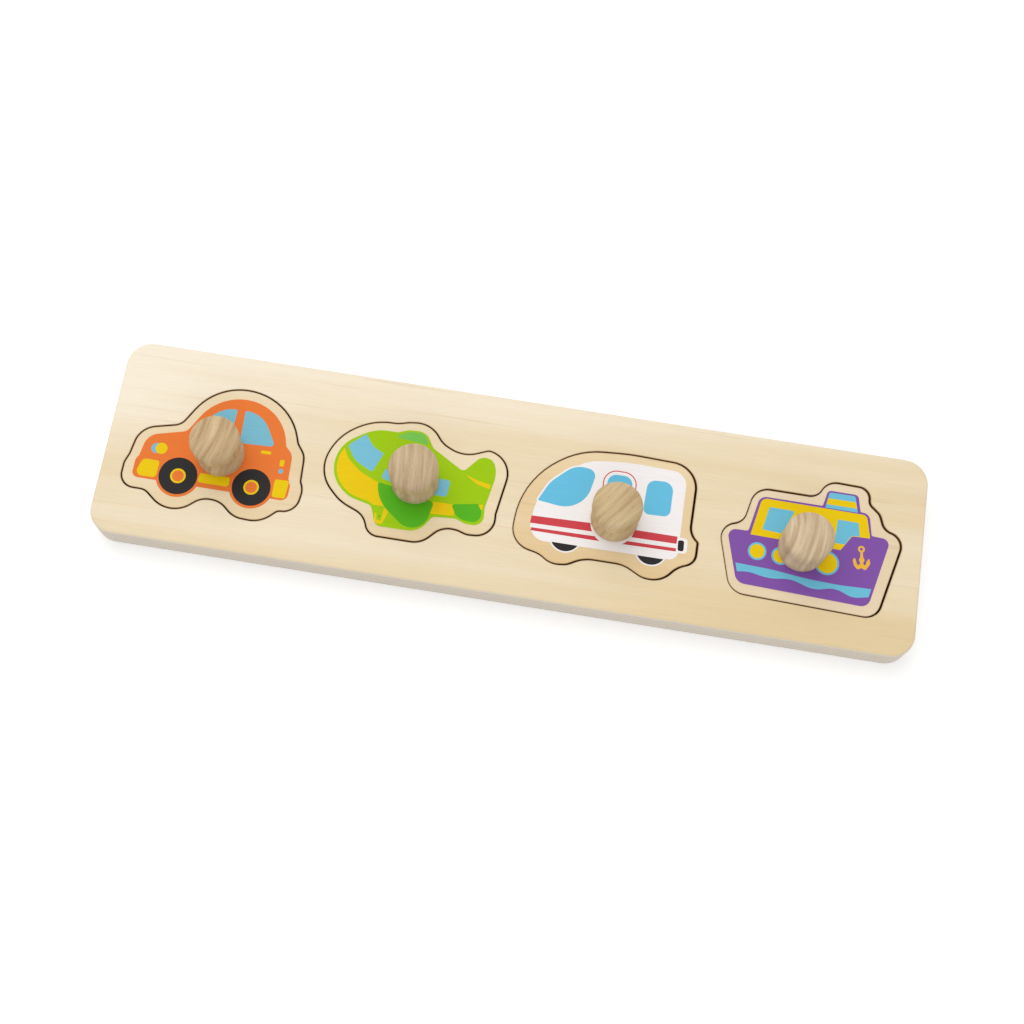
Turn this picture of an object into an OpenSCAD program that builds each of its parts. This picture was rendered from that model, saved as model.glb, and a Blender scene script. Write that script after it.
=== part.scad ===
// Wooden peg puzzle: a long board with four vehicle pieces, each lifted out by its turned knob.
// Millimetres. The origin is the centre of the board's underside, with X along the board,
// Y towards its rear edge and Z up.

/* [Board] */
// Length of the board
board_l = 400; // [340:1:460]
// Width of the board
board_w = 100; // [92:1:140]
// Thickness of the frame that the cut-outs go through
frame_t = 12; // [8:0.5:18]
// Thickness of the base panel glued under the frame
base_t = 4; // [2:0.5:8]
// Radius of the board's four corners
corner_r = 12; // [6:1:20]
// Rounding of the board's outer edges
edge_r = 1.2; // [0.4:0.1:1.8]

/* [Pieces] */
// Length that the car piece leaves free in its quarter of the board
car_spare = 12; // [8:0.5:24]
// Length that the plane piece leaves free in its quarter
plane_spare = 11; // [7:0.5:23]
// Length that the van piece leaves free in its quarter
van_spare = 10; // [6:0.5:22]
// Length that the boat piece leaves free in its quarter
boat_spare = 12; // [8:0.5:24]
// Gap between a piece at the middle of its cut-out and the frame
fit_gap = 0.75; // [0.65:0.05:1.5]
// Thickness of the printed ink
ink_t = 0.1; // [0.05:0.01:0.2]

/* [Knobs] */
// Height of a knob
knob_h = 25; // [20:0.5:30]
// Diameter of the knob's head
knob_head_d = 24; // [20:0.5:26]
// Diameter of the knob's waist
knob_waist_d = 18.8; // [16:0.2:20]
// Diameter of the knob's foot
knob_foot_d = 23.2; // [20.4:0.2:25]
// Rounding of the knob's foot
knob_foot_r = 1.4; // [0.8:0.1:2]
// Height of the domed top on the knob's head
knob_dome_h = 5; // [3:0.5:7]

/* [Screws] */
// Diameter of the screw that holds a knob
screw_d = 3.5; // [3:0.1:4]
// Diameter of the screw's countersunk head
screw_head_d = 6.8; // [6:0.1:8]
// Depth that the screw reaches into its knob
screw_grip = 11; // [8:0.5:14]
// Depth of the screw's head below the piece's underside
screw_sink = 0.3; // [0:0.1:1]
// Diameter of the pilot hole in the knob
pilot_d = 2.9; // [2.4:0.1:3]
// Clearance round the screw where it passes through the piece
screw_gap = 0.25; // [0.1:0.05:0.5]

/* [Hidden] */
$fn = 96;

board_t = base_t + frame_t; // the pieces stand on the base and end level with the frame
quarter_l = board_l / 4;    // the length of board that each of the four pieces has
car_l = quarter_l - car_spare;
plane_l = quarter_l - plane_spare;
van_l = quarter_l - van_spare;
boat_l = quarter_l - boat_spare;
overrun = 1;                // what a cut runs past the faces that it goes through
arc_step = 6;               // degrees of a rounded corner for each flat of it
swell_steps = 8;            // flats between two widths of a knob's side
dome_steps = 12;            // flats from the side of a knob's head to its top
percent = 1 / 100;          // every table of shares is in hundredths
screw_head_h = (screw_head_d - screw_d) / 2; // a countersunk head has a right-angled cone
screw_point_h = screw_d;
pilot_spare = screw_d / 3;  // depth of the pilot hole past the screw's point
cross_l = screw_head_d * 0.62;
cross_w = screw_head_d * 0.13;
cross_h = screw_head_h * 0.8;
knob_waist_share = 32;      // height of the waist, of the knob's height
knob_rim_share = 62;        // height where the head's straight side starts, of the knob's

// Where each piece's knob stands, of the board's length and width from the board's centre
car_seat_shares = [-35.9, -2];
plane_seat_shares = [-11.9, -0.5];
van_seat_shares = [12.8, -3.6];
boat_seat_shares = [35.6, -3.7];
// How far each piece lies off the middle of its cut-out, of the gap round it
car_play_shares = [0, 0];
plane_play_shares = [-10, 10];
van_play_shares = [-45, 0];
boat_play_shares = [-50, -25];

// The outlines below are of their piece's length, measured from the piece's knob. Each corner
// is [x, y, radius of its rounding], and the corners run anticlockwise.

// The saw line of the car: its bumper, tail, roof, hood and the lobes under its wheels
car_cut_shares = [[47.2, -26.9, 8.9], [48.8, -13.1, 11.6], [46.6, -8.8, 4.5], [45.8, 6.5, 10.4],
    [40.9, 12.9, 6.8], [31.4, 39.5, 34.2], [-11, 39.5, 30.9], [-25.5, 13.5, 8],
    [-47.5, 8, 12.5], [-50, -8, 4.5], [-51.8, -13, 6.5], [-51.9, -26.9, 8], [-37, -27, 7.7],
    [-27.2, -34.9, 16.7], [-15.5, -35.9, 15.3], [-5.2, -26.9, 11.8], [5, -26.9, 13.1],
    [14.2, -34.8, 13.6], [29.4, -35.5, 15.7], [37.5, -27.4, 4.7]];
car_body_shares = [[41.2, -21.2, 3.9], [41.5, -12.3, 4.5], [39.7, -8.4, 2.4], [39.2, 5.8, 7.5],
    [34.7, 10.2, 3.6], [28.5, 33.9, 27.1], [-8.5, 33.7, 27], [-21.5, 10, 5.5], [-42.5, 4.5, 9],
    [-44.5, -8, 2.5], [-46, -10.5, 3.5], [-46.1, -20.8, 3.5]];
car_window_shares = [[8.7, 7.9, 1.2], [28.8, 8.8, 1.7], [18.4, 26.9, 16.4], [8.1, 27.3, 1.1]];
car_pillar_share = 5.9;     // the windows mirror each other at the middle of this pillar
car_front_bumper_shares = [[-32.6, -19.5, 2.4], [-32.5, -9.5, 1.5], [-42, -9.5, 3],
    [-44.9, -19.6, 3.2]];
car_rear_bumper_shares = [[39.9, -19.9, 1.1], [40.5, -9.5, 1.1], [32.5, -9.7, 1.2],
    [32.6, -20.1, 1.4]];
car_sill_shares = [[8.1, -18.4, 1.8], [7.8, -12.8, 1.2], [-8.8, -12.9, 1.2], [-9.8, -18.3, 1.6]];
car_handle_shares = [[27.3, 3.9, 0.7], [27.3, 5.7, 0.7], [21.6, 5.7, 0.7], [21.6, 3.9, 0.7]];
car_lamp_shares = [[35.7, -1.8, 0.8], [35.7, 2, 0.8], [33.2, 2, 0.8], [33.2, -1.8, 0.8]];
car_wheel_spots_shares = [[-20.7, -16.5], [20.5, -16.5]];
car_tyre_share = 10.7;      // radii of the wheels' printed rings
car_rim_share = 12.2;
car_hub_share = 4.3;
car_cap_share = 3.2;
car_headlamp_shares = [-33.2, -2.2, 3.3]; // x, y and radius of a round lamp
car_headlamp_glass_shares = [-35.9, -2.4, 3];
car_tail_lamp_shares = [34.7, -4.7, 1.4];

// The saw line of the plane: its tail, wings and nose
plane_cut_shares = [[47.7, -24.6, 10.4], [46.4, -11.7, 6.5], [51, 21.1, 13.7], [37.1, 24.1, 4.2],
    [23.6, 18.3, 17.7], [11.4, 23.9, 14], [2.6, 34.8, 14.8], [-9.3, 33.2, 11], [-15.3, 31.5, 16],
    [-28.5, 31.6, 33.2], [-47.3, 18.7, 30], [-53, -3.6, 20.2], [-38.5, -17.9, 25.1],
    [-24.3, -23.5, 11.4], [-20.1, -34.3, 7.8], [9.1, -34.3, 12.7], [19, -23.3, 11.8],
    [27.2, -23.8, 9.7], [32.8, -25.5, 9.2]];
plane_body_shares = [[40.9, -19.7, 5.5], [40, -9, 2], [43.5, 11.7, 16.1], [39.9, 20, 5.7],
    [33, 19.3, 5.8], [25.2, 9.7, 2.8], [6.5, 20.5, 4.8], [1.2, 29.3, 8], [-8.6, 28.7, 7.1],
    [-14.2, 26.5, 4.6], [-27, 26.5, 24.1], [-44.4, 14.6, 18.7], [-46.5, -4.8, 19.1],
    [-34.1, -14.6, 17.2], [-21.2, -17.5, 4], [-17, -28.6, 4.4], [6.7, -28.3, 11.5],
    [12.9, -18.5, 3.4], [25.4, -17.6, 4], [31, -19.6, 4.4]];
plane_edge_share = 1.5;     // width of the lime edge that the belly leaves round itself
plane_belly_shares = [[24, -17, 0], [24, -9.8, 0], [11.5, -10, 0], [-18.5, -4.5, 9],
    [-30.5, 0.4, 20], [-38.9, 7.4, 8], [-41.6, 13, 0], [-50, 13, 0], [-50, -17, 0]];
plane_belly_end_shares = [[38.7, -10.6, 0.2], [39, -7, 0.2], [35.5, -8.6, 0.2]];
plane_screen_shares = [[-24, 1.3, 1.5], [-19.8, 12.9, 0.9], [-26.1, 16, 6], [-31.2, 22.6, 0.6],
    [-40.2, 14.6, 2.2], [-34.4, 6.4, 11.6]];
plane_wing_shares = [[9.4, -26.8, 9.3], [12.3, -10.3, 1.9], [-9.9, -5.3, 3.5], [-19.8, -3.8, 0.7],
    [-18.8, -13.7, 20.5], [-2, -26.5, 10.3]];
plane_tailplane_shares = [[38.6, -18.4, 4.7], [38.9, -11.7, 3.2], [36.1, -7.3, 1.4],
    [21.7, -9.9, 1.3], [26.3, -17.7, 8.3]];
plane_far_wing_shares = [[4, 21.9, 0.5], [0.5, 27.9, 3.4], [-7.8, 27.9, 6.2], [-15.9, 23.6, 0.9]];
plane_front_window_shares = [[-5.1, -4.4, 1], [-6, 3.5, 1], [-17.2, 4.4, 1.2], [-18.7, -1.1, 1.3]];
plane_rear_window_shares = [[18.5, -6.1, 1.4], [19.1, 3.4, 1.4], [6, 3.6, 1], [6, -6.1, 1]];
plane_stripe_shares = [[41, 2, 0.3], [41.1, 4.6, 0.3], [34.2, 5.8, 9], [26.3, 8.4, 0.2],
    [33.7, 3.7, 9]];
plane_strut_shares = [[-13.6, -27.3, 1.5], [-11.2, -19.7, 1], [-14, -17.2, 0.6], [-14.4, -25.5, 0.6],
    [-17, -24.9, 0.6], [-17.4, -21.2, 0.3], [-18.5, -21.4, 0.3], [-18.1, -26.8, 2]];
plane_hub_shares = [-15.7, -22.9, 0.6]; // x, y and radius of the dot on the strut's wheel

// The saw line of the van: its bumper, tail, roof, sloping front and the lobes under its wheels
van_cut_shares = [[45.7, -18, 7.2], [45.7, -6.1, 1.6], [41, -2, 10.5], [41.2, 36.6, 14.4],
    [2.8, 37.8, 102.6], [-23.5, 35.8, 42.2], [-52.7, 14.4, 46], [-53.7, -22.4, 12.6],
    [-37.1, -25.9, 13.7], [-30.7, -30.5, 12.3], [-21.6, -29.5, 11.9], [-14.1, -24.6, 20],
    [8, -24.6, 17.9], [18.7, -30.2, 12.3], [29.3, -30.6, 13.3], [36.4, -21.4, 15.9]];
van_body_shares = [[36.2, -17.8, 4.9], [35.7, 31.9, 8.1], [1.1, 33.1, 105.1],
    [-18.5, 30.2, 19.3], [-42.9, 13.5, 37.4], [-44.9, -18.8, 9]];
van_screen_shares = [[-17.4, 0.8, 15.1], [-12.9, 25.5, 4.4], [-25.1, 26.8, 12],
    [-37.3, 15.1, 18.7], [-42.5, 3.7, 0.6]];
van_rear_window_shares = [[29.2, 5.7, 3.7], [29.1, 25.5, 5.4], [15, 24.9, 4.8], [14.4, 5.2, 3.3]];
van_middle_window_shares = [[6.9, 5.6, 3.3], [6.9, 25, 5], [-6.7, 25, 5], [-6.7, 6, 2]];
van_screen_edge_share = 0.9; // width of the white edge in front of the screen
van_arch_share = 2.35;      // distance of the red line from the middle window
van_arch_line_share = 0.6;  // width of that line
van_wide_stripe_shares = [[34.7, -8.6, 0], [34.8, -4.5, 0], [-10.8, -4.4, 0], [-44.3, -5.4, 0],
    [-44.5, -9.6, 0], [-10.7, -9.1, 0]];
van_thin_stripe_shares = [[34.8, -12.9, 0], [34.8, -11.1, 0], [-11, -11.5, 0], [-43.6, -12, 0],
    [-43.6, -13.7, 0], [-11, -13.8, 0]];
van_ring_shares = [-0.4, -3.1, 12.1]; // x, y and radius of the round gap in the stripes
van_wheel_spots_shares = [[-24.5, -14.3], [21.8, -14.3]];
van_tyre_share = 8.1;
van_tyre_edge_share = 0.8;  // width of the white edge round a tyre
van_floor_share = -18.25;   // height that the tyres show below
van_bumper_shares = [[38.9, -12.3, 1.1], [38.6, -6.2, 1.1], [35.3, -6.4, 1.1], [35.7, -12.3, 1.1]];
van_bumper_edge_shares = [[40.6, -13.5, 2], [40.5, -4.9, 2], [34, -4.9, 2], [34, -13.5, 2]];

// The saw line of the boat: its bow, wheelhouse, funnel, cabin and stern
boat_cut_shares = [[43.8, -33.2, 9.4], [55.2, 14.6, 8], [43.7, 17.7, 7.5], [40.5, 26.4, 7.2],
    [34.2, 31.5, 4.9], [34.2, 40.4, 6.5], [10.1, 41.1, 9.4], [5.5, 30.9, 7.5], [-28.9, 31, 10],
    [-33.4, 9.9, 8.3], [-46.6, 6, 8.8], [-36.5, -30.8, 10.7]];
boat_body_shares = [[38.8, -27.3, 5.5], [47.8, 12.8, 3.7], [37.3, 13.4, 1], [35, 26, 4.2],
    [30, 26.1, 1.2], [28, 35.8, 2.6], [11.1, 35.9, 2.6], [9.1, 26.4, 1.2], [-25.7, 26.5, 4.8],
    [-30, 5.4, 1.6], [-41.8, 5.2, 4], [-33.3, -24.8, 6]];
boat_cabin_shares = [[21.1, 2.6, 0.3], [26.7, 11.5, 1], [36.6, 11.8, 0.3], [33.7, 24.9, 3.1],
    [-24.5, 25.6, 3.8], [-28.7, 3.6, 0.3]];
boat_port_window_shares = [[-11.8, 6.8, 0.6], [-5.7, 20.8, 1], [-20, 20.9, 1], [-22.5, 7.5, 0.8]];
boat_bow_window_shares = [[23.2, 6.2, 0.3], [26.4, 11.7, 0.3], [30.9, 12, 0.3], [29.5, 19.7, 0.6],
    [18, 19.9, 0.6], [17.5, 6.2, 0.6]];
boat_funnel_band_shares = [[28, 27.8, 0], [26.9, 31.4, 0], [11.6, 31.4, 0], [11, 27.8, 0]];
boat_funnel_paint_shares = [[28.5, 25.6, 0], [26.4, 34.9, 1.4], [12, 34.9, 1.4], [10.5, 25.7, 0]];
boat_wave_shares = [[44, -16.6, 0], [22, -17.3, 60], [4, -16.6, 60], [-15, -14.5, 60],
    [-38, -13.6, 0], [-35.7, -18.8, 0], [-27.4, -17.6, 19], [-15.7, -20, 28], [-4.8, -17.9, 18],
    [8.7, -22.3, 15.5], [20.1, -19.2, 13.5], [29.8, -23.3, 11], [42, -20.9, 0]];
boat_edge_share = 1.4;      // width of the purple edge at the ends of the wave
// x, y and radius of each porthole
boat_porthole_shares = [[-24, -5.4, 4], [-11, -6, 4], [14.4, -6, 5.7]];
boat_porthole_rim_share = 1.1;
boat_anchor_eye_shares = [32.4, 5, 1.9]; // x, y and radius of the anchor's eye
boat_anchor_hole_share = 0.8;
boat_anchor_shares = [[31.4, -7, 1.2], [33.3, -5.7, 0.4], [35.7, -6.9, 1.2], [38, -2.5, 1.6],
    [37.1, 0.5, 0.3], [35.9, -1.5, 0.8], [35.3, -4.3, 0.5], [34, -3, 0.4], [34.7, -0.9, 0.5],
    [33.7, 0.7, 0.6], [33.3, 3.6, 0], [31.9, 3.6, 0], [32.2, 0.5, 0.6], [31.6, -1.2, 0.5],
    [32.5, -3.2, 0.4], [31.3, -4.8, 0.5], [30.2, -2.5, 0.8], [29.3, -0.2, 0.3], [28.2, -1.8, 1.2],
    [29.2, -5, 1.3]];

// Geometry of rounded outlines

function unit(v) = v / norm(v);
function cross_z(a, b) = a.x * b.y - a.y * b.x;
function flat(p) = [p.x, p.y];

// The points of one rounded corner at b, between its neighbours a and c
function corner_points(a, b, c) =
    let (to_a = unit(flat(a) - flat(b)), to_c = unit(flat(c) - flat(b)),
        bend = 180 - acos(max(-1, min(1, to_a * to_c))))
    b[2] <= 0 || bend < arc_step / 2 ? [flat(b)] :
    let (start = flat(b) + to_a * b[2] * tan(bend / 2),
        centre = flat(b) + unit(to_a + to_c) * b[2] / cos(bend / 2),
        way = cross_z(to_c, to_a) > 0 ? 1 : -1,
        first = atan2(start.y - centre.y, start.x - centre.x),
        steps = ceil(bend / arc_step))
    [for (k = [0 : steps]) centre + b[2] * [cos(first + way * bend * k / steps),
        sin(first + way * bend * k / steps)]];

// A closed outline with its corners rounded
function rounded(corners) =
    let (n = len(corners))
    [for (i = [0 : n - 1]) each
        corner_points(corners[(i + n - 1) % n], corners[i], corners[(i + 1) % n])];

// The same corners moved out by a distance, so that the rounded outline grows evenly
function grown(corners, out) =
    let (n = len(corners))
    [for (i = [0 : n - 1])
        let (b = corners[i],
            before = unit(flat(b) - flat(corners[(i + n - 1) % n])),
            after = unit(flat(corners[(i + 1) % n]) - flat(b)),
            normal_before = [before.y, -before.x], normal_after = [after.y, -after.x],
            shift = (normal_before + normal_after) * out / (1 + normal_before * normal_after),
            way = cross_z(before, after) > 0 ? 1 : -1)
        [b.x + shift.x, b.y + shift.y, max(0, b[2] + way * out)]];

// Corners of a side that swells smoothly through knots of [radius, height], upright at each
function swell(knots) =
    let (last = len(knots) - 1)
    [for (i = [0 : last - 1], k = [0 : swell_steps - 1])
        let (a = knots[i], b = knots[i + 1], ease = (1 - cos(180 * k / swell_steps)) / 2)
        [a.x + (b.x - a.x) * ease, a.y + (b.y - a.y) * k / swell_steps, 0],
        [knots[last].x, knots[last].y, 0]];

function sized(shares, length) = shares * length * percent;
function seat(shares) = [board_l * shares.x, board_w * shares.y] * percent;
function place(seat_shares, play_shares) = seat(seat_shares) + fit_gap * play_shares * percent;

car_place = place(car_seat_shares, car_play_shares);
plane_place = place(plane_seat_shares, plane_play_shares);
van_place = place(van_seat_shares, van_play_shares);
boat_place = place(boat_seat_shares, boat_play_shares);

module art(shares, length) polygon(rounded(sized(shares, length)));
module grown_art(shares, length, out) polygon(rounded(grown(sized(shares, length), out)));

// A round spot at shares [x, y, radius] of the length
module spot(shares, length, more = 0) {
    s = sized(shares, length);
    translate([s.x, s.y]) circle(s[2] + more);
}

// The board

// A slab of the board, with its outer edges rounded above or below
module slab(thickness, top_r, bottom_r) {
    profile = rounded([[0, 0, 0], [corner_r, 0, bottom_r], [corner_r, thickness, top_r],
        [0, thickness, 0]]);
    core = [board_l - 2 * corner_r, board_w - 2 * corner_r];
    translate([-core.x / 2, -core.y / 2, 0]) cube([core.x, core.y, thickness]);
    for (side = [0, 1], turned = [0, 1]) {
        out = turned == 0 ? core.x : core.y;
        run = turned == 0 ? core.y : core.x;
        rotate([0, 0, 180 * side + 90 * turned])
            translate([out / 2, run / 2, 0])
                rotate([90, 0, 0]) linear_extrude(run) polygon(profile);
    }
    for (right = [0, 1], rear = [0, 1])
        mirror([1 - right, 0, 0]) mirror([0, 1 - rear, 0])
            translate([core.x / 2, core.y / 2, 0])
                rotate_extrude(angle = 90) polygon(profile);
}

// The hole that the saw line leaves in the frame
module cut_out(cut_shares, length, seat_shares) {
    at = seat(seat_shares);
    translate([at.x, at.y, -overrun])
        linear_extrude(frame_t + 2 * overrun)
            grown_art(cut_shares, length, fit_gap / 2);
}

module board_base() color("wheat") slab(base_t, 0, edge_r);

module board_frame() color("wheat") translate([0, 0, base_t]) difference() {
    slab(frame_t, edge_r, 0);
    cut_out(car_cut_shares, car_l, car_seat_shares);
    cut_out(plane_cut_shares, plane_l, plane_seat_shares);
    cut_out(van_cut_shares, van_l, van_seat_shares);
    cut_out(boat_cut_shares, boat_l, boat_seat_shares);
}

// The pieces, knobs and screws

// A sawn piece with its countersunk hole from below
module piece(cut_shares, length, at) translate([at.x, at.y, base_t]) difference() {
    linear_extrude(frame_t) grown_art(cut_shares, length, -fit_gap / 2);
    translate([0, 0, -overrun]) cylinder(d = screw_d + 2 * screw_gap, h = frame_t + 2 * overrun);
    translate([0, 0, -overrun]) cylinder(d = screw_head_d, h = screw_sink + overrun);
    translate([0, 0, screw_sink]) cylinder(d1 = screw_head_d, d2 = screw_d, h = screw_head_h);
}

// A turned knob: a rounded foot, a waist and a wider head with a domed top
module knob(at) {
    foot = knob_foot_d / 2;
    head = knob_head_d / 2;
    waist_z = knob_h * knob_waist_share * percent;
    rim_z = knob_h * knob_rim_share * percent;
    side = swell([[foot, knob_foot_r * 1.5], [knob_waist_d / 2, waist_z], [head, rim_z]]);
    dome = [for (k = [0 : dome_steps])
        [head * cos(90 * k / dome_steps),
            knob_h - knob_dome_h * (1 - sin(90 * k / dome_steps)), 0]];
    profile = concat([[0, 0, 0], [foot, 0, knob_foot_r]], side, dome);
    color("burlywood") translate([at.x, at.y, board_t]) difference() {
        rotate_extrude() polygon(rounded(profile));
        translate([0, 0, -overrun]) cylinder(d = pilot_d, h = overrun + screw_grip + pilot_spare);
    }
}

// A countersunk wood screw with a cross recess, driven up through the piece
module screw(at) {
    shank_z = screw_sink + screw_head_h;
    point_z = frame_t + screw_grip - screw_point_h;
    color("silver") translate([at.x, at.y, base_t]) difference() {
        union() {
            translate([0, 0, screw_sink])
                cylinder(d1 = screw_head_d, d2 = screw_d, h = screw_head_h);
            translate([0, 0, shank_z]) cylinder(d = screw_d, h = point_z - shank_z);
            translate([0, 0, point_z]) cylinder(d1 = screw_d, d2 = 0, h = screw_point_h);
        }
        for (turned = [0, 90]) rotate([0, 0, turned])
            translate([-cross_l / 2, -cross_w / 2, screw_sink - overrun])
                cube([cross_l, cross_w, cross_h + overrun]);
    }
}

// Ink printed on a piece, kept clear of its knob's foot
module print(at) translate([at.x, at.y, board_t]) linear_extrude(ink_t) difference() {
    children();
    circle(d = knob_foot_d);
}

// Car

module car_wheels(radius_share) for (s = car_wheel_spots_shares)
    spot([s.x, s.y, radius_share], car_l);

module car_windows() {
    art(car_window_shares, car_l);
    translate([car_pillar_share * car_l * percent, 0]) mirror([1, 0])
        translate([-car_pillar_share * car_l * percent, 0]) art(car_window_shares, car_l);
}

module car_blue() {
    car_windows();
    spot(car_tail_lamp_shares, car_l);
    difference() {
        spot(car_headlamp_glass_shares, car_l);
        spot(car_headlamp_shares, car_l);
    }
}

module car_yellow() {
    art(car_front_bumper_shares, car_l);
    art(car_rear_bumper_shares, car_l);
    art(car_sill_shares, car_l);
    art(car_handle_shares, car_l);
    art(car_lamp_shares, car_l);
    spot(car_headlamp_shares, car_l);
    difference() {
        car_wheels(car_hub_share);
        car_wheels(car_cap_share);
    }
}

module car_black() difference() {
    car_wheels(car_tyre_share);
    car_wheels(car_hub_share);
}

module car_orange() difference() {
    union() {
        art(car_body_shares, car_l);
        car_wheels(car_rim_share);
    }
    car_blue();
    car_yellow();
    car_black();
}

module car_piece() color("wheat") piece(car_cut_shares, car_l, car_place);
module car_knob() knob(car_place);
module car_screw() screw(car_place);
module car_orange_print() color("darkorange") print(car_place) car_orange();
module car_yellow_print() color("gold") print(car_place) car_yellow();
module car_blue_print() color("skyblue") print(car_place) car_blue();
module car_black_print() color("darkslategray") print(car_place) car_black();

// Plane

module plane_green() {
    art(plane_wing_shares, plane_l);
    art(plane_tailplane_shares, plane_l);
    spot(plane_hub_shares, plane_l);
}

module plane_yellow() difference() {
    union() {
        intersection() {
            grown_art(plane_body_shares, plane_l, -plane_edge_share * plane_l * percent);
            art(plane_belly_shares, plane_l);
        }
        art(plane_belly_end_shares, plane_l);
        art(plane_stripe_shares, plane_l);
        art(plane_strut_shares, plane_l);
    }
    plane_green();
}

module plane_blue() {
    art(plane_screen_shares, plane_l);
    art(plane_front_window_shares, plane_l);
    art(plane_rear_window_shares, plane_l);
}

module plane_lime() difference() {
    art(plane_body_shares, plane_l);
    plane_green();
    plane_yellow();
    plane_blue();
    art(plane_far_wing_shares, plane_l);
}

module plane_piece() color("wheat") piece(plane_cut_shares, plane_l, plane_place);
module plane_knob() knob(plane_place);
module plane_screw() screw(plane_place);
module plane_lime_print() color("yellowgreen") print(plane_place) plane_lime();
module plane_green_print() color("forestgreen") print(plane_place) plane_green();
module plane_far_wing_print() color("mediumseagreen") print(plane_place)
    art(plane_far_wing_shares, plane_l);
module plane_yellow_print() color("gold") print(plane_place) plane_yellow();
module plane_blue_print() color("skyblue") print(plane_place) plane_blue();

// Van

module van_wheels(more) intersection() {
    for (s = van_wheel_spots_shares) spot([s.x, s.y, van_tyre_share], van_l, more);
    translate([-van_l, van_floor_share * van_l * percent - van_l]) square([2 * van_l, van_l]);
}

module van_blue() {
    art(van_screen_shares, van_l);
    art(van_middle_window_shares, van_l);
    art(van_rear_window_shares, van_l);
}

module van_red() {
    line = van_arch_line_share * van_l * percent;
    out = van_arch_share * van_l * percent;
    difference() {
        union() {
            art(van_wide_stripe_shares, van_l);
            art(van_thin_stripe_shares, van_l);
        }
        spot(van_ring_shares, van_l);
    }
    difference() {
        grown_art(van_middle_window_shares, van_l, out);
        grown_art(van_middle_window_shares, van_l, out - line);
    }
}

module van_black() {
    van_wheels(0);
    art(van_bumper_shares, van_l);
}

module van_white() difference() {
    union() {
        art(van_body_shares, van_l);
        grown_art(van_screen_shares, van_l, van_screen_edge_share * van_l * percent);
        art(van_bumper_edge_shares, van_l);
        for (s = van_wheel_spots_shares)
            spot([s.x, s.y, van_tyre_share + van_tyre_edge_share], van_l);
    }
    van_blue();
    van_red();
    van_black();
}

module van_piece() color("wheat") piece(van_cut_shares, van_l, van_place);
module van_knob() knob(van_place);
module van_screw() screw(van_place);
module van_white_print() color("whitesmoke") print(van_place) van_white();
module van_red_print() color("crimson") print(van_place) van_red();
module van_blue_print() color("deepskyblue") print(van_place) van_blue();
module van_black_print() color("darkslategray") print(van_place) van_black();

// Boat

module boat_portholes(more) for (s = boat_porthole_shares)
    spot(s, boat_l, more * boat_l * percent);

module boat_windows() {
    art(boat_port_window_shares, boat_l);
    intersection() {
        art(boat_bow_window_shares, boat_l);
        art(boat_cabin_shares, boat_l);
    }
}

module boat_yellow() {
    difference() {
        art(boat_cabin_shares, boat_l);
        boat_windows();
    }
    art(boat_funnel_band_shares, boat_l);
    boat_portholes(0);
}

module boat_blue() {
    boat_windows();
    difference() {
        art(boat_funnel_paint_shares, boat_l);
        art(boat_funnel_band_shares, boat_l);
        art(boat_cabin_shares, boat_l);
    }
    difference() {
        boat_portholes(boat_porthole_rim_share);
        boat_portholes(0);
    }
    intersection() {
        art(boat_wave_shares, boat_l);
        grown_art(boat_body_shares, boat_l, -boat_edge_share * boat_l * percent);
    }
}

module boat_anchor() difference() {
    union() {
        spot(boat_anchor_eye_shares, boat_l);
        art(boat_anchor_shares, boat_l);
    }
    spot([boat_anchor_eye_shares.x, boat_anchor_eye_shares.y, boat_anchor_hole_share], boat_l);
}

module boat_purple() difference() {
    art(boat_body_shares, boat_l);
    boat_yellow();
    boat_blue();
    boat_anchor();
}

module boat_piece() color("wheat") piece(boat_cut_shares, boat_l, boat_place);
module boat_knob() knob(boat_place);
module boat_screw() screw(boat_place);
module boat_purple_print() color("rebeccapurple") print(boat_place) boat_purple();
module boat_yellow_print() color("gold") print(boat_place) boat_yellow();
module boat_blue_print() color("skyblue") print(boat_place) boat_blue();
module boat_gold_print() color("goldenrod") print(boat_place) boat_anchor();

board_base();
board_frame();
car_piece();
car_knob();
car_screw();
car_orange_print();
car_yellow_print();
car_blue_print();
car_black_print();
plane_piece();
plane_knob();
plane_screw();
plane_lime_print();
plane_green_print();
plane_far_wing_print();
plane_yellow_print();
plane_blue_print();
van_piece();
van_knob();
van_screw();
van_white_print();
van_red_print();
van_blue_print();
van_black_print();
boat_piece();
boat_knob();
boat_screw();
boat_purple_print();
boat_yellow_print();
boat_blue_print();
boat_gold_print();
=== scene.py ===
import math
import bmesh
import bpy
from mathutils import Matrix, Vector


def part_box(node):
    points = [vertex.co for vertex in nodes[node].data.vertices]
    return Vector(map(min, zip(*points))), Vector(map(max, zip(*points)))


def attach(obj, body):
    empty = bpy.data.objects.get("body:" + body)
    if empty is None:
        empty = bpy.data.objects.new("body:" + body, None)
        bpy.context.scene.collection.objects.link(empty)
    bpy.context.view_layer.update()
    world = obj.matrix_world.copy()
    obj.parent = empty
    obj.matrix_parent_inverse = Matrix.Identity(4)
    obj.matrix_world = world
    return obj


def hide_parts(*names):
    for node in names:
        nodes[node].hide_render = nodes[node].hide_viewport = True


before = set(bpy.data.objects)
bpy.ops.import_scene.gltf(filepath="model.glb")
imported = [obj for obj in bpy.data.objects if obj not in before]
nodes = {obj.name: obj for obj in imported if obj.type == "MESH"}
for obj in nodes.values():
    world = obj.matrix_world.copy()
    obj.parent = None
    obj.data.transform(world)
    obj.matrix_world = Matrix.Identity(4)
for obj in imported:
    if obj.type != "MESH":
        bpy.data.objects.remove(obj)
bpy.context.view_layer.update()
mm = 0.001
vehicles = ("car", "plane", "van", "boat")
print("frame loaded,", len(nodes), "nodes")


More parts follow.
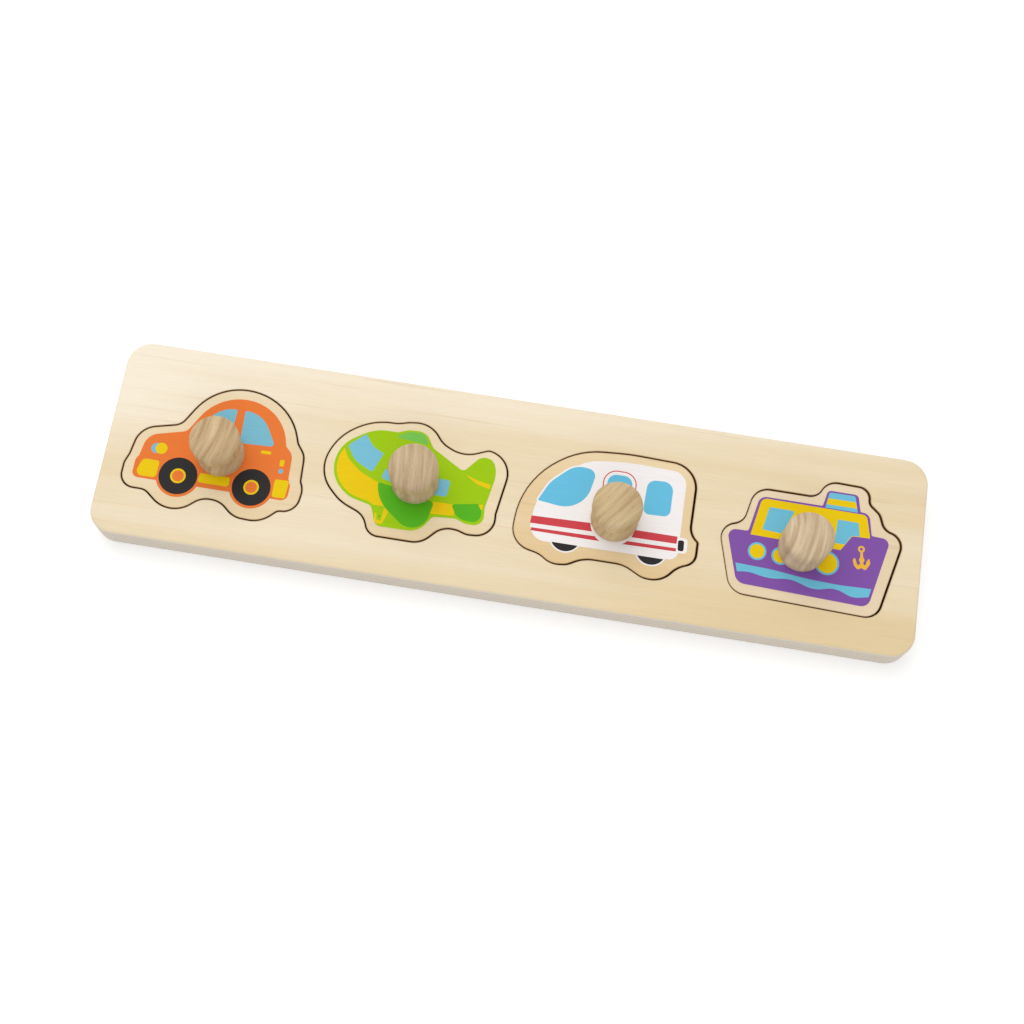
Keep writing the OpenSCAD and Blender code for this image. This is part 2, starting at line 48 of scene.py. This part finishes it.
def linear(hexColour):
    shares = [int(hexColour[i:i + 2], 16) / 255 for i in (1, 3, 5)]
    return (*[s / 12.92 if s <= 0.04045 else ((s + 0.055) / 1.055) ** 2.4 for s in shares], 1)


# Adds one shader node. An input is a number, a colour or the socket that feeds it.
def addNode(tree, kind, inputs=None, **settings):
    node = tree.nodes.new("ShaderNode" + kind)
    for name, value in settings.items():
        setattr(node, name, value)
    for name, value in (inputs or {}).items():
        if isinstance(value, bpy.types.NodeSocket):
            tree.links.new(value, node.inputs[name])
        else:
            node.inputs[name].default_value = value
    return node


# Carries a value from one span over to another, and holds it at both ends
def ramp(tree, value, span, start=0.0, end=1.0):
    return addNode(tree, "MapRange", {"Value": value, "From Min": span[0], "From Max": span[1],
                                      "To Min": start, "To Max": end}).outputs[0]


# Mixes two colours, where the share is the second one's
def mix(tree, share, first, second, how="MIX"):
    return addNode(tree, "Mix", {0: share, 6: first, 7: second}, data_type="RGBA",
                   blend_type=how).outputs[2]


def calculate(tree, operation, *values, **settings):
    return addNode(tree, "Math", dict(enumerate(values)), operation=operation,
                   **settings).outputs[0]


def startMaterial(name):
    material = bpy.data.materials.new(name)
    material.use_nodes = True
    material.node_tree.nodes.clear()
    return material, material.node_tree


# Ends the material of bare or printed wood, whose fibres are a fine relief
def addWoodSurface(tree, v, colour, rough, fibres):
    bump = addNode(tree, "Bump", {"Height": fibres, "Strength": v["bumpStrength"],
                                  "Distance": v["bumpMm"] * mm})
    shader = addNode(tree, "BsdfPrincipled", {
        "Base Color": colour, "Roughness": rough, "IOR": v["ior"],
        "Specular IOR Level": v["specular"], "Normal": bump.outputs[0]})
    addNode(tree, "OutputMaterial", {"Surface": shader.outputs[0]})


def setMaterial(piece, material):
    piece.data.materials.clear()
    piece.data.materials.append(material)


def makeObject(name, bm):
    mesh = bpy.data.meshes.new(name)
    bm.to_mesh(mesh)
    bm.free()
    piece = bpy.data.objects.new(name, mesh)
    bpy.context.scene.collection.objects.link(piece)
    return piece


# Camera, where the photograph was taken from: high over the board's front edge
cameraPlace = {
    "placeMm": (27.3, -236.0, 735.6),
    "turnDegrees": (17.647, -0.828, 9.102),
    "focalPixels": 1560,
    "imagePixels": 1024,
    "sensorMm": 36,
    "nearestMm": 10,
}


def placeCamera(v):
    lens = bpy.data.cameras.new("photoLens")
    lens.sensor_width = v["sensorMm"]
    lens.lens = v["sensorMm"] * v["focalPixels"] / v["imagePixels"]
    lens.clip_start = v["nearestMm"] * mm
    camera = bpy.data.objects.new("photoCamera", lens)
    camera.location = [c * mm for c in v["placeMm"]]
    camera.rotation_euler = [math.radians(a) for a in v["turnDegrees"]]
    bpy.context.scene.collection.objects.link(camera)
    bpy.context.scene.camera = camera


placeCamera(cameraPlace)
print("camera placed")

# Plain white table and backdrop under soft daylight from the left and behind. Places and sizes
# are in metres.
stageLook = {
    "floorSize": 3.0,
    "floorColour": "#e8e8e8",
    "floorGlow": 0.36,
    "skyColour": "#ffffff",
    "skyStrength": 0.64,
}
lamps = {
    "windowLamp": {"place": (-0.4, 0.75, 1.5), "size": 1.8, "watts": 12.0, "colour": "#fffaf2"},
    "fillLamp": {"place": (0.2, -1.3, 1.1), "size": 1.2, "watts": 2.5, "colour": "#f8faff"},
}


# 1 where the camera or a reflection looks, and 0 for the light that reaches the object
def seenDirectly(tree):
    path = addNode(tree, "LightPath").outputs
    return calculate(tree, "MAXIMUM", path["Is Camera Ray"], path["Is Glossy Ray"])


def makeStage(v):
    bm = bmesh.new()
    bmesh.ops.create_grid(bm, x_segments=1, y_segments=1, size=v["floorSize"] / 2)
    table = makeObject("table", bm)

    # The table glows a little where it is seen directly, so it is white but keeps its shadow
    material, tree = startMaterial("whiteTable")
    glowing = calculate(tree, "MULTIPLY", seenDirectly(tree), v["floorGlow"])
    paint = addNode(tree, "BsdfDiffuse", {"Color": linear(v["floorColour"])})
    glow = addNode(tree, "Emission", {"Strength": glowing})
    both = addNode(tree, "AddShader", {0: paint.outputs[0], 1: glow.outputs[0]})
    addNode(tree, "OutputMaterial", {"Surface": both.outputs[0]})
    setMaterial(table, material)

    world = bpy.data.worlds.new("daylight")
    world.use_nodes = True
    tree = world.node_tree
    tree.nodes.clear()
    strength = ramp(tree, seenDirectly(tree), (0, 1), v["skyStrength"], 1.0)
    sky = addNode(tree, "Background", {"Color": linear(v["skyColour"]), "Strength": strength})
    addNode(tree, "OutputWorld", {"Surface": sky.outputs[0]})
    bpy.context.scene.world = world


def makeLamp(name, v):
    light = bpy.data.lights.new(name, "AREA")
    light.shape = "DISK"
    light.size = v["size"]
    light.energy = v["watts"]
    light.color = linear(v["colour"])[:3]
    lamp = bpy.data.objects.new(name, light)
    lamp.location = v["place"]
    lamp.rotation_euler = Vector(v["place"]).to_track_quat("Z", "Y").to_euler()
    bpy.context.scene.collection.objects.link(lamp)


makeStage(stageLook)
for lampName, lampValues in lamps.items():
    makeLamp(lampName, lampValues)
bpy.context.scene.view_settings.view_transform = "Standard"
print("table and lamps placed")

# Limewood plywood, sanded and left bare: very pale, matt and even, with long faint streaks and
# here and there a browner one. Its edges show nine plies in the frame and three in the base, and
# a laser's cut is burnt brown.
plywood = {
    "streakMm": (190, 7),        # length and width of the long streaks
    "toneMm": (300, 45),         # of the slow changes of tone
    "fibreMm": (14, 0.7),        # of the fibres, drawn wider than the real 0.1 mm so that they show
    "brownStreakMm": (110, 2.2),
    "streakShare": 0.4,          # of the streaks, against the slow changes of tone
    "toneRange": (0.35, 1.05),   # of the noise, from the light tone to the dark one
    "brownStreak": "#c9a877",
    "brownStreakRange": (0.67, 0.82),
    "brownStreakStrength": 0.35,
    "fibreRange": (0.35, 0.65),
    "fibreStrength": 0.035,
    "plyMm": 1.333,
    "glueMm": 0.12,
    "edgeLight": "#ebe2d5",
    "edgeDark": "#dfd1be",
    "glue": "#c2b29c",
    "faceTilt": (0.55, 0.9),     # upward share of the normal, from edge plies to face veneer
    "burntLight": "#b0803f",
    "burntDark": "#704b20",
    "charPerMetre": 420,
    "charRange": (0.3, 1.6),
    "bareRoughness": 0.58,
    "burntRoughness": 0.9,
    "ior": 1.5,
    "specular": 0.35,
    "bumpMm": 0.02,
    "bumpStrength": 0.5,
}
# Tones of each sheet. paintedFalloff is how much painted shade darkens a sheet towards the board's
# front.
plywoodTones = {
    "frame": {"light": "#fcf1dc", "dark": "#e9d2a5", "paintedFalloff": 0.34, "plyFromMm": 4, "shift": 0.0},
    "base": {"light": "#f3e4c6", "dark": "#e8d2a8", "paintedFalloff": 0.0, "plyFromMm": 0, "shift": 3.1},
    "car": {"light": "#f4e2c1", "dark": "#e5c995", "paintedFalloff": 0.3, "plyFromMm": 4, "shift": 1.3},
    "plane": {"light": "#f6e6c5", "dark": "#e5cb9c", "paintedFalloff": 0.4, "plyFromMm": 4, "shift": 2.2},
    "van": {"light": "#f6e2bc", "dark": "#e8ca98", "paintedFalloff": 0.6, "plyFromMm": 4, "shift": 4.7},
    "boat": {"light": "#f2e2c6", "dark": "#ead2ac", "paintedFalloff": 0.0, "plyFromMm": 4, "shift": 5.9},
}
paintedFalloffDirection = (0.2, -0.98, 0.0)  # painted light and shade: a sheet turns darker and yellower this way, for less light,
paintedFalloffSpanMm = 100                   # by its whole painted fall-off at this distance from the board's middle


# Long-grained noise: its features are as long along X, and as wide across, as the pair says
def grain(tree, coordinates, lengthAndWidthMm, shift, detail):
    length, width = (1 / (size * mm) for size in lengthAndWidthMm)
    stretched = addNode(tree, "Mapping", {"Vector": coordinates, "Scale": (length, width, width),
                                          "Location": (shift, shift, shift)})
    noise = addNode(tree, "TexNoise", {"Vector": stretched.outputs[0], "Scale": 1.0,
                                       "Detail": detail, "Roughness": 0.6})
    return noise.outputs["Fac"]


def veneerColour(tree, at, v, tone, fibre):
    streak = grain(tree, at, v["streakMm"], tone["shift"], 2.0)
    slow = grain(tree, at, v["toneMm"], tone["shift"] + 10, 1.0)
    brown = grain(tree, at, v["brownStreakMm"], tone["shift"] + 30, 1.0)
    mixed = calculate(tree, "MULTIPLY_ADD", streak, v["streakShare"], slow)
    # Painted light and shade: the sheet is lighter and whiter towards the back of the board, where
    # more light and sheen fall, and darker and yellower towards its front
    along = addNode(tree, "VectorMath", {0: at, 1: paintedFalloffDirection}, operation="DOT_PRODUCT")
    paintedFalloff = ramp(tree, along.outputs["Value"], (-paintedFalloffSpanMm * mm, paintedFalloffSpanMm * mm),
                 -tone["paintedFalloff"], tone["paintedFalloff"])
    amount = ramp(tree, calculate(tree, "ADD", mixed, paintedFalloff), v["toneRange"])
    face = mix(tree, amount, linear(tone["light"]), linear(tone["dark"]))
    browner = ramp(tree, brown, v["brownStreakRange"], 0.0, v["brownStreakStrength"])
    face = mix(tree, browner, face, linear(v["brownStreak"]))
    fibreShade = ramp(tree, fibre, v["fibreRange"], 1.0, 1 - v["fibreStrength"])
    return mix(tree, 1.0, face, fibreShade, "MULTIPLY")


# Plies of the sheet's edge, counted up from its underside. Every second one lies across the grain.
def edgeColour(tree, at, v, tone):
    height = addNode(tree, "SeparateXYZ", {0: at}).outputs["Z"]
    underside = tone["plyFromMm"] * mm
    ply = addNode(tree, "MapRange", {"Value": height, "From Min": underside,
                                     "From Max": underside + v["plyMm"] * mm},
                  clamp=False).outputs[0]
    cross = calculate(tree, "GREATER_THAN", calculate(tree, "FLOORED_MODULO", ply, 2.0), 1.0)
    fromGlue = calculate(tree, "PINGPONG", ply, 0.5)
    glued = calculate(tree, "LESS_THAN", fromGlue, v["glueMm"] / v["plyMm"] / 2)
    edge = mix(tree, cross, linear(v["edgeLight"]), linear(v["edgeDark"]))
    return mix(tree, glued, edge, linear(v["glue"])), cross


# Burnt cut, darker across the cross plies and uneven along the cut
def burntColour(tree, at, v, cross):
    char = addNode(tree, "TexNoise", {"Vector": at, "Scale": v["charPerMetre"], "Detail": 3.0})
    shade = ramp(tree, calculate(tree, "ADD", cross, char.outputs["Fac"]), v["charRange"])
    return mix(tree, shade, linear(v["burntLight"]), linear(v["burntDark"]))


def makePlywood(name, v, tone):
    material, tree = startMaterial(name)
    place = addNode(tree, "TexCoord").outputs
    at = place["Object"]
    fibre = grain(tree, at, v["fibreMm"], tone["shift"] + 20, 2.0)
    face = veneerColour(tree, at, v, tone, fibre)
    edge, cross = edgeColour(tree, at, v, tone)
    up = addNode(tree, "SeparateXYZ", {0: place["Normal"]}).outputs["Z"]
    onFace = ramp(tree, calculate(tree, "ABSOLUTE", up), v["faceTilt"])
    bare = mix(tree, onFace, edge, face)
    burn = addNode(tree, "Attribute", attribute_name="burn").outputs["Fac"]
    colour = mix(tree, burn, bare, burntColour(tree, at, v, cross))
    rough = ramp(tree, burn, (0, 1), v["bareRoughness"], v["burntRoughness"])
    addWoodSurface(tree, v, colour, rough, fibre)
    return material


plywoods = {name: makePlywood(name + "Limewood", plywood, tone)
            for name, tone in plywoodTones.items()}
print("plywood made")

# Sawn edges: the frame and the pieces get the small rounding that sanding leaves on a cut edge,
# and a thin scorched line beside it
sawnEdge = {
    "roundMm": 0.13,
    "roundSegments": 3,
    "scorchMm": 0.4,
    "scorch": 0.35,
    "weldMm": 0.001,             # joins the loose triangles of the copied mesh
    "flatDegrees": 0.5,          # and faces that are flat to this angle become one
    "sharpDegrees": 35,
    "outerMm": 2.5,              # nearer to the board's outside than this nothing is sawn,
    "cornerMm": 12,              # nor in its rounded corners,
    "screwMm": 9,                # nor this close to a screw
    "wallTilt": 0.1,             # upward share of the normal: less than this on a wall,
    "roundTilt": 0.98,           # up to this on a rounding,
    "flatTilt": 0.999,           # and more than this on a flat face
}


def isWall(face, v):
    return abs(face.normal.z) < v["wallTilt"]


def isFlat(face, v):
    return abs(face.normal.z) > v["flatTilt"]


# Tells what the saw made from the board's outer sides and the screws' holes
def makeSawTest(v, outer, screws):
    low, high = outer
    margin, corner = v["outerMm"] * mm, v["cornerMm"] * mm

    def bySaw(face):
        middle = face.calc_center_median().to_2d()
        x, y = middle
        inside = low.x + margin < x < high.x - margin and low.y + margin < y < high.y - margin
        inCorner = abs(x) > high.x - corner and abs(y) > high.y - corner
        byScrew = any((middle - screw.to_2d()).length <= v["screwMm"] * mm for screw in screws)
        return inside and not inCorner and not byScrew

    return bySaw


def roundRims(bm, v, bySaw):
    rims = [e for e in bm.edges if len(e.link_faces) == 2
            and any(isFlat(f, v) for f in e.link_faces)
            and any(isWall(f, v) and bySaw(f) for f in e.link_faces)]
    bmesh.ops.bevel(bm, geom=rims, offset=v["roundMm"] * mm, segments=v["roundSegments"],
                    profile=0.5, affect="EDGES", material=-1, clamp_overlap=True)
    bm.normal_update()


# Insets the flat faces, which gives the scorched line its inner side. The inset is kept along the
# saw lines alone, and welded shut round the board and the screws.
def insetScorch(bm, v, bySaw):
    flats = [f for f in bm.faces if isFlat(f, v)]
    border = {tuple(vertex.co) for f in flats for vertex in f.verts}
    ring = bmesh.ops.inset_region(bm, faces=flats, thickness=v["scorchMm"] * mm, use_boundary=True,
                                  use_even_offset=True)["faces"]
    shut = {f for f in ring if not bySaw(f)}
    spokes = {e for f in shut for e in f.edges if all(other in shut for other in e.link_faces)}
    targets = {}
    for edge in spokes:
        kept, moved = sorted(edge.verts, key=lambda vertex: tuple(vertex.co) not in border)
        targets[moved] = kept
    bmesh.ops.weld_verts(bm, targetmap=targets)
    bm.normal_update()


def burnCuts(bm, v, bySaw):
    burn = bm.verts.layers.float.new("burn")
    for face in bm.faces:
        if abs(face.normal.z) < v["roundTilt"] and bySaw(face):
            heat = 1.0 if isWall(face, v) else v["scorch"]
            for vertex in face.verts:
                vertex[burn] = max(vertex[burn], heat)


def shadeSmooth(bm, v):
    for face in bm.faces:
        face.smooth = True
    for edge in bm.edges:
        edge.smooth = (not any(isFlat(f, v) for f in edge.link_faces)
                       and edge.calc_face_angle(0) < math.radians(v["sharpDegrees"]))


def softenSawn(name, node, body, material, v, outer, screws):
    bm = bmesh.new()
    bm.from_mesh(nodes[node].data)
    bmesh.ops.remove_doubles(bm, verts=bm.verts, dist=v["weldMm"] * mm)
    bmesh.ops.dissolve_limit(bm, angle_limit=math.radians(v["flatDegrees"]), verts=bm.verts,
                             edges=bm.edges)
    bm.normal_update()
    bySaw = makeSawTest(v, outer, screws)
    roundRims(bm, v, bySaw)
    insetScorch(bm, v, bySaw)
    burnCuts(bm, v, bySaw)
    shadeSmooth(bm, v)
    piece = makeObject(name, bm)
    setMaterial(piece, material)
    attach(piece, body)
    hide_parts(node)
    return piece


knobCentres = {}
for vehicle in vehicles:
    low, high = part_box(vehicle + "_knob")
    knobCentres[vehicle] = (low + high) / 2

setMaterial(nodes["board_base"], plywoods["base"])
sawnFrame = softenSawn("sawnFrame", "board_frame", "board", plywoods["frame"], sawnEdge,
                       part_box("board_frame"), [])
everywhere = (Vector((-1, -1, -1)), Vector((1, 1, 1)))  # a piece is sawn on all its sides
for vehicle in vehicles:
    sawnPiece = softenSawn(vehicle + "Sawn", vehicle + "_piece", vehicle, plywoods[vehicle],
                           sawnEdge, everywhere, [knobCentres[vehicle]])
print("frame and pieces made")

# Turned beech knobs: sizes in millimetres, the same as the solids that they stand for
knobShape = {
    "head": 24.0,
    "waist": 18.8,
    "foot": 23.2,
    "height": 25.0,
    "waistHeight": 8.0,
    "rimHeight": 15.5,
    "footRounding": 1.4,
    "dome": 5.0,
    "turnSteps": 96,
    "curveSteps": 10,
    "weldMm": 0.001,
}


# Radius and height of points up the knob's side: foot, waist, rim and dome
def knobProfile(v):
    shares = [k / v["curveSteps"] for k in range(v["curveSteps"] + 1)]
    turns = [math.pi / 2 * share for share in shares]
    foot, waist, head = v["foot"] / 2, v["waist"] / 2, v["head"] / 2
    under = v["footRounding"]
    points = [(0, 0)]
    points += [(foot - under + under * math.sin(a), under - under * math.cos(a)) for a in turns]
    for (r0, z0), (r1, z1) in (((foot, under * 1.5), (waist, v["waistHeight"])),
                               ((waist, v["waistHeight"]), (head, v["rimHeight"]))):
        for share in shares:
            eased = (1 - math.cos(math.pi * share)) / 2
            points.append((r0 + (r1 - r0) * eased, z0 + (z1 - z0) * share))
    points += [(head * math.cos(a), v["height"] - v["dome"] * (1 - math.sin(a))) for a in turns]
    return points


def turnKnob(name, node, body, material, v):
    low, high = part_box(node)
    centre = ((low.x + high.x) / 2, (low.y + high.y) / 2, low.z)
    bm = bmesh.new()
    line = [bm.verts.new((centre[0] + r * mm, centre[1], centre[2] + z * mm))
            for r, z in knobProfile(v)]
    edges = [bm.edges.new(pair) for pair in zip(line, line[1:])]
    bmesh.ops.spin(bm, geom=line + edges, cent=centre, axis=(0, 0, 1), angle=math.tau,
                   steps=v["turnSteps"], use_merge=True)
    bmesh.ops.remove_doubles(bm, verts=bm.verts, dist=v["weldMm"] * mm)
    bmesh.ops.recalc_face_normals(bm, faces=bm.faces)
    for face in bm.faces:
        face.smooth = True
    knob = makeObject(name, bm)
    setMaterial(knob, material)
    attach(knob, body)
    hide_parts(node)


# Beech, turned from a rod that runs along the grain, and sanded: greyish tan and matt. Growth
# rings bend over the head and run down the sides, with fine streaks and short flecks beside them.
beech = {
    "ringMm": (40, 2.8),         # length along a ring and width across it
    "ringRange": (0.35, 0.68),   # of the noise, from none of a feature to all of it
    "ringStrength": 0.6,
    "streakMm": (10, 0.7),
    "streakRange": (0.3, 0.7),
    "streakStrength": 0.3,
    "fleckMm": (2.4, 0.3),
    "fleckRange": (0.6, 0.72),
    "fleckStrength": 0.2,
    "grainStretch": 5,           # a feature is this much longer down the knob than along a ring
    "roughness": 0.5,
    "ior": 1.5,
    "specular": 0.4,
    "bumpMm": 0.03,
    "bumpStrength": 0.5,
}
beechTones = {
    "car": {"light": "#dcc298", "dark": "#a58254", "pithMm": 30, "turnDegrees": 12, "shift": 0},
    "plane": {"light": "#d6bf9c", "dark": "#aa8b65", "pithMm": 90, "turnDegrees": -6, "shift": 2},
    "van": {"light": "#dac298", "dark": "#af915e", "pithMm": 80, "turnDegrees": 38, "shift": 4},
    "boat": {"light": "#e4cfae", "dark": "#ab8c65", "pithMm": 48, "turnDegrees": 4, "shift": 6},
}


def makeBeech(name, v, tone, centre):
    material, tree = startMaterial(name)
    at = addNode(tree, "TexCoord").outputs["Object"]
    onKnob = addNode(tree, "VectorMath", {0: at, 1: tuple(centre)}, operation="SUBTRACT")
    turned = addNode(tree, "Mapping", {"Vector": onKnob.outputs[0],
                                       "Location": (tone["pithMm"] * mm, 0, 0),
                                       "Rotation": (0, 0, math.radians(tone["turnDegrees"]))})

    # Place in the tree: out from the pith, round it, and up the trunk
    x, y, z = addNode(tree, "SeparateXYZ", {0: turned.outputs[0]}).outputs
    flat = addNode(tree, "CombineXYZ", {0: x, 1: y})
    out = addNode(tree, "VectorMath", {0: flat.outputs[0]}, operation="LENGTH").outputs["Value"]
    around = calculate(tree, "MULTIPLY", calculate(tree, "ARCTAN2", y, x), tone["pithMm"] * mm)
    up = calculate(tree, "DIVIDE", z, v["grainStretch"])
    inTree = addNode(tree, "CombineXYZ", {0: out, 1: around, 2: up})

    def drawnOut(alongAndAcrossMm, shift, detail):
        along, across = (1 / (size * mm) for size in alongAndAcrossMm)
        place = addNode(tree, "Mapping", {"Vector": inTree.outputs[0], "Location": (shift,) * 3,
                                          "Scale": (across, along, along)})
        return addNode(tree, "TexNoise", {"Vector": place.outputs[0], "Scale": 1.0,
                                          "Detail": detail}).outputs["Fac"]

    ring = drawnOut(v["ringMm"], tone["shift"], 1.0)
    streak = drawnOut(v["streakMm"], tone["shift"] + 10, 2.0)
    fleck = drawnOut(v["fleckMm"], tone["shift"] + 20, 1.0)
    ringShade = ramp(tree, ring, v["ringRange"], 0.0, v["ringStrength"])
    streakShade = ramp(tree, streak, v["streakRange"], 0.0, v["streakStrength"])
    amount = calculate(tree, "ADD", ringShade, streakShade, use_clamp=True)
    wood = mix(tree, amount, linear(tone["light"]), linear(tone["dark"]))
    flecks = ramp(tree, fleck, v["fleckRange"], 1.0, 1 - v["fleckStrength"])
    addWoodSurface(tree, v, mix(tree, 1.0, wood, flecks, "MULTIPLY"), v["roughness"], streak)
    return material


for vehicle in vehicles:
    wood = makeBeech(vehicle + "KnobBeech", beech, beechTones[vehicle], knobCentres[vehicle])
    turnKnob(vehicle + "TurnedKnob", vehicle + "_knob", vehicle, wood, knobShape)
print("knobs turned")

# Screen-printed inks: an opaque even film, nearly matt, which shows the wood's fibres as a faint
# relief and a slightly uneven tone
ink = {
    "fibreMm": (16, 0.8),
    "fibreRange": (0.3, 0.7),
    "unevenness": 0.05,
    "roughness": 0.48,
    "ior": 1.48,
    "specular": 0.12,
    "bumpMm": 0.02,
    "bumpStrength": 0.5,
}
inkColours = {
    "orange_print": "#ef7d36",
    "yellow_print": "#f2cf00",
    "lime_print": "#a2cf02",
    "green_print": "#57b91c",
    "far_wing_print": "#7acb58",
    "white_print": "#fcf9fa",
    "red_print": "#d54750",
    "black_print": "#2a2829",
    "purple_print": "#8556ad",
    "gold_print": "#f6bd3a",
    "car_blue_print": "#7dc1d9",
    "plane_blue_print": "#7cc6df",
    "van_blue_print": "#6ac6eb",
    "boat_blue_print": "#71c5e2",
}


def makeInk(name, hexColour, v):
    material, tree = startMaterial(name)
    at = addNode(tree, "TexCoord").outputs["Object"]
    fibre = grain(tree, at, v["fibreMm"], 20.0, 2.0)
    shade = ramp(tree, fibre, v["fibreRange"], 1.0, 1 - v["unevenness"])
    colour = mix(tree, 1.0, linear(hexColour), shade, "MULTIPLY")
    addWoodSurface(tree, v, colour, v["roughness"], fibre)
    return material


inks = {name: makeInk(name.replace("_print", "Ink"), colour, ink)
        for name, colour in inkColours.items()}
for nodeName, node in nodes.items():
    if nodeName.endswith("_print"):
        colourName = nodeName if nodeName in inks else nodeName.split("_", 1)[1]
        setMaterial(node, inks[colourName])
print("inks printed")

# Zinc-plated steel screws: bright, slightly blue-grey and finely brushed by the plating barrel
zinc = {
    "colour": "#c3c6ca",
    "dull": "#a2a5a8",
    "grainMm": 0.5,
    "roughness": (0.25, 0.45),   # least and most
}


def makeZinc(v):
    material, tree = startMaterial("zincPlatedSteel")
    at = addNode(tree, "TexCoord").outputs["Object"]
    grains = addNode(tree, "TexNoise", {"Vector": at, "Scale": 1 / (v["grainMm"] * mm),
                                        "Detail": 3.0}).outputs["Fac"]
    colour = mix(tree, grains, linear(v["colour"]), linear(v["dull"]))
    rough = ramp(tree, grains, (0, 1), *v["roughness"])
    shader = addNode(tree, "BsdfPrincipled", {"Base Color": colour, "Metallic": 1.0,
                                              "Roughness": rough})
    addNode(tree, "OutputMaterial", {"Surface": shader.outputs[0]})
    return material


zincPlate = makeZinc(zinc)
for vehicle in vehicles:
    setMaterial(nodes[vehicle + "_screw"], zincPlate)
print("screws plated")
